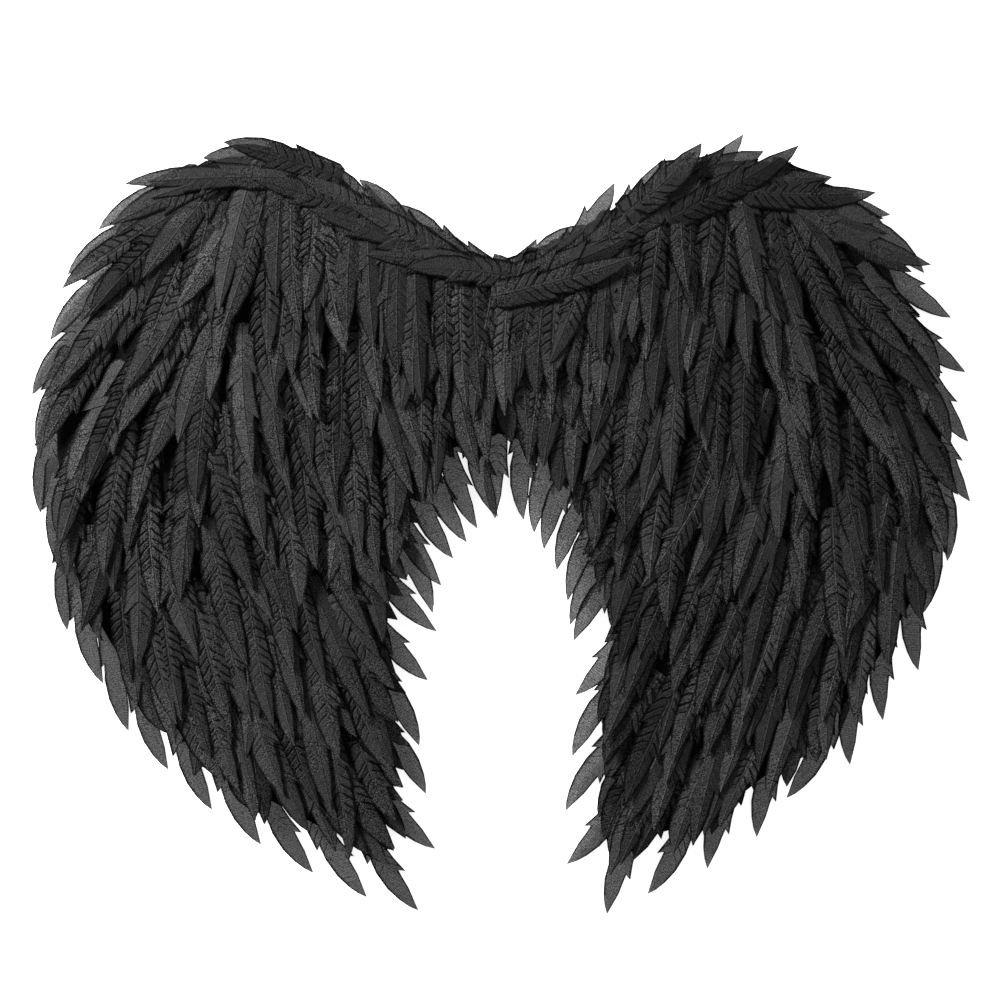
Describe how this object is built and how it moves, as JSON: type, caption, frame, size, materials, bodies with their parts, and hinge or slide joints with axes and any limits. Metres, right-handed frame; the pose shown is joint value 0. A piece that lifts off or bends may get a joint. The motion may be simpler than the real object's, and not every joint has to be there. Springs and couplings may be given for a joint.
{
  "type": "costume wings",
  "caption": "Black costume wings: a felt back covered in overlapping rows of die-cut cloth feathers, with elastic shoulder straps.",
  "frame": {"origin": "middle of the underside of the bounding box, on the surface that the wings lie on", "axes": "+X along the span towards the right wing as seen from the feathered face, +Y from the wing tips up to the crest, +Z out of the feathered face"},
  "size_m": [0.7974, 0.6628, 0.0246],
  "materials": {
    "felt": "matt black felt",
    "feather_cloth": "black woven cloth with a soft sheen",
    "elastic": "black woven elastic"
  },
  "bodies": {
    "root": {"crest_left": "feather_cloth", "crest_right": "feather_cloth", "feather_row_left_01": "feather_cloth", "feather_row_left_02": "feather_cloth", "feather_row_left_03": "feather_cloth", "feather_row_left_04": "feather_cloth", "feather_row_left_05": "feather_cloth", "feather_row_left_06": "feather_cloth", "feather_row_left_07": "feather_cloth", "feather_row_left_08": "feather_cloth", "feather_row_right_01": "feather_cloth", "feather_row_right_02": "feather_cloth", "feather_row_right_03": "feather_cloth", "feather_row_right_04": "feather_cloth", "feather_row_right_05": "feather_cloth", "feather_row_right_06": "feather_cloth", "feather_row_right_07": "feather_cloth", "feather_row_right_08": "feather_cloth", "fringe_left": "feather_cloth", "fringe_right": "feather_cloth", "spine_panel": "felt", "strap_left": "elastic", "strap_right": "elastic", "wing_panel_left": "felt", "wing_panel_right": "felt"}
  },
  "joints": []
}
